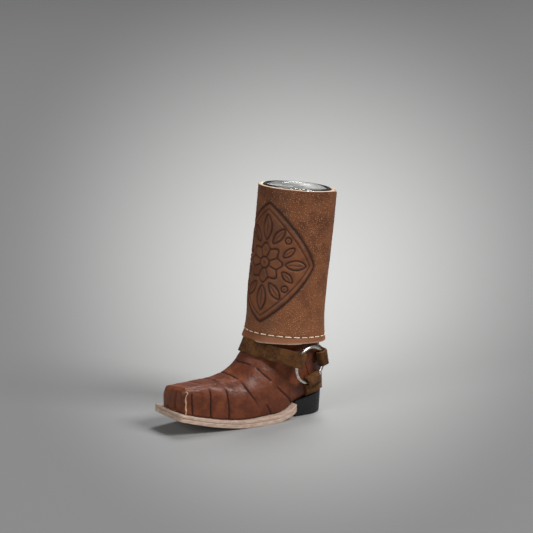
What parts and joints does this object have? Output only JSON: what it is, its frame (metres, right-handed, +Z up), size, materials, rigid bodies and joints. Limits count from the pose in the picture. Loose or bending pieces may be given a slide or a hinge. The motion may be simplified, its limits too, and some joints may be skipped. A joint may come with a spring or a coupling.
{
  "type": "boot shot glass",
  "caption": "Small leather cowboy boot on a raised heel whose tooled shaft sleeves a lift-out shot glass, with harness straps and rings at the ankle.",
  "frame": {"origin": "on the floor under the middle of the heel, on the heel's flat bottom", "axes": "+Z up, toe towards -Y, the boot's left side towards +X"},
  "size_m": [0.0432, 0.0917, 0.1127],
  "materials": {
    "croc_leather": "glossy crocodile-embossed",
    "shaft_leather": "tooled, pebbled, satin",
    "strap_suede": "matte suede",
    "sole_leather": "raw cut edge",
    "heel_rubber": "satin black",
    "nickel": "polished nickel plate",
    "insole_board": "matte board",
    "last_wood": "sanded",
    "clear_glass": "clear"
  },
  "bodies": {
    "boot": {"vamp": "croc_leather", "heel_counter": "croc_leather", "foot_last": "last_wood", "insole": "insole_board", "welt": "sole_leather", "outsole": "sole_leather", "heel_block": "heel_rubber", "front_strap": "strap_suede", "rear_strap": "strap_suede", "under_strap": "strap_suede", "shaft_leather": "shaft_leather"},
    "glass": {"shot_glass": "clear_glass"},
    "left_loop": {"left_ring": "nickel"},
    "right_loop": {"right_ring": "nickel"}
  },
  "joints": [
    {"name": "glass_lift", "type": "slide", "parent": "boot", "child": "glass", "axis": [0, 0.1023, 0.9948], "range_m": [0, 0.075]},
    {"name": "left_ring_spin", "type": "hinge", "parent": "boot", "child": "left_loop", "pos_m": [0.01699, -0.00304, 0.02667], "axis": [0.9781, 0.1797, -0.1049], "continuous": true},
    {"name": "right_ring_spin", "type": "hinge", "parent": "boot", "child": "right_loop", "pos_m": [-0.01699, -0.00304, 0.02667], "axis": [-0.9781, 0.1797, -0.1049], "continuous": true}
  ]
}
